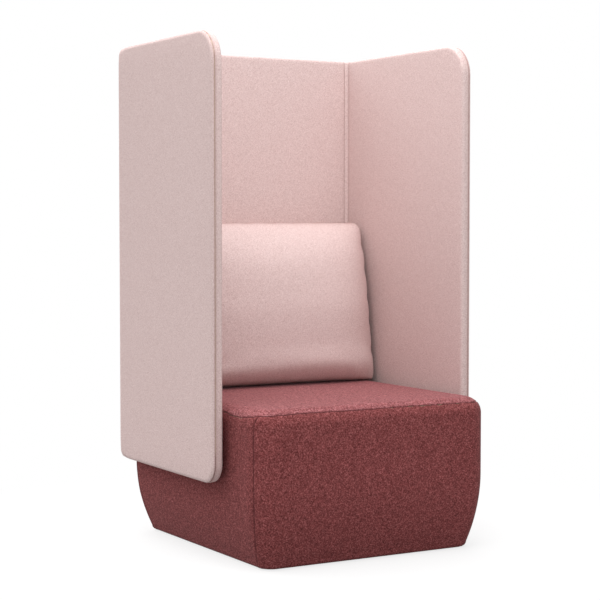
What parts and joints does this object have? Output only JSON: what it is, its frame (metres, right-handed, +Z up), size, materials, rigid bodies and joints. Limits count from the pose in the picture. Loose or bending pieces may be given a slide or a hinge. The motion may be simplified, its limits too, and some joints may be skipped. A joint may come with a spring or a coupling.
{
  "type": "acoustic high back lounge chair",
  "caption": "Upholstered lounge chair: a block seat held in a tall padded screen of three walls, with a loose back cushion.",
  "frame": {"origin": "on the floor, under the middle of the chair's box", "axes": "+Z up, -Y the way the sitter faces, +X to the sitter's left, which is the right-hand side of a front view"},
  "size_m": [0.8456, 0.816, 1.44],
  "materials": {
    "blush_felt": "matt felted wool melange, blush pink",
    "rose_felt": "matt felted wool melange, dark rose",
    "foam": "cut polyurethane foam, cream",
    "cushion_filling": "fibre filling in a white lining",
    "plywood": "unfinished birch plywood",
    "beech": "unfinished solid beech",
    "webbing": "black elastic webbing",
    "dust_cloth": "black non-woven cloth",
    "zip_tape": "woven zip tape, blush",
    "nylon": "black moulded nylon",
    "steel": "zinc-plated steel"
  },
  "bodies": {
    "chair": {"screen_left_inner_cover": "blush_felt", "screen_right_inner_cover": "blush_felt", "screen_back_inner_cover": "blush_felt", "screen_left_outer_cover": "blush_felt", "screen_right_outer_cover": "blush_felt", "screen_back_outer_cover": "blush_felt", "screen_left_corner_strip": "blush_felt", "screen_right_corner_strip": "blush_felt", "screen_left_inner_foam": "foam", "screen_right_inner_foam": "foam", "screen_back_inner_foam": "foam", "screen_left_outer_foam": "foam", "screen_right_outer_foam": "foam", "screen_back_outer_foam": "foam", "screen_left_board": "plywood", "screen_right_board": "plywood", "screen_back_board": "plywood", "screen_left_corner_post": "beech", "screen_right_corner_post": "beech", "seat_top_cover": "rose_felt", "base_front_cover": "rose_felt", "base_left_cover": "rose_felt", "base_right_cover": "rose_felt", "base_rear_cover": "rose_felt", "base_dust_cloth": "dust_cloth", "seat_foam_block": "foam", "seat_foam_topper": "foam", "base_front_foam": "foam", "base_rear_foam": "foam", "base_left_foam": "foam", "base_right_foam": "foam", "frame_front_board": "plywood", "frame_rear_board": "plywood", "frame_left_board": "plywood", "frame_right_board": "plywood", "frame_floor_board": "plywood", "frame_left_front_block": "beech", "frame_left_rear_block": "beech", "frame_right_front_block": "beech", "frame_right_rear_block": "beech", "seat_webbing": "webbing", "glide_left_front": "nylon", "glide_left_rear": "nylon", "glide_right_front": "nylon", "glide_right_rear": "nylon", "spacer_sleeve_left_front": "steel", "spacer_sleeve_left_rear": "steel", "spacer_sleeve_right_front": "steel", "spacer_sleeve_right_rear": "steel", "screen_bolt_left_front": "steel", "screen_bolt_left_rear": "steel", "screen_bolt_right_front": "steel", "screen_bolt_right_rear": "steel"},
    "back_cushion": {"cushion_front_cover": "blush_felt", "cushion_rear_cover": "blush_felt", "cushion_filling": "cushion_filling", "cushion_zip": "zip_tape"},
    "zip_slider": {"cushion_zip_slider": "steel"}
  },
  "joints": [
    {"name": "cushion_lift", "type": "slide", "parent": "chair", "child": "back_cushion", "axis": [0, 0, 1], "range_m": [0, 1.03]},
    {"name": "zip_slide", "type": "slide", "parent": "back_cushion", "child": "zip_slider", "axis": [1, 0, 0], "range_m": [0, 0.313]}
  ]
}
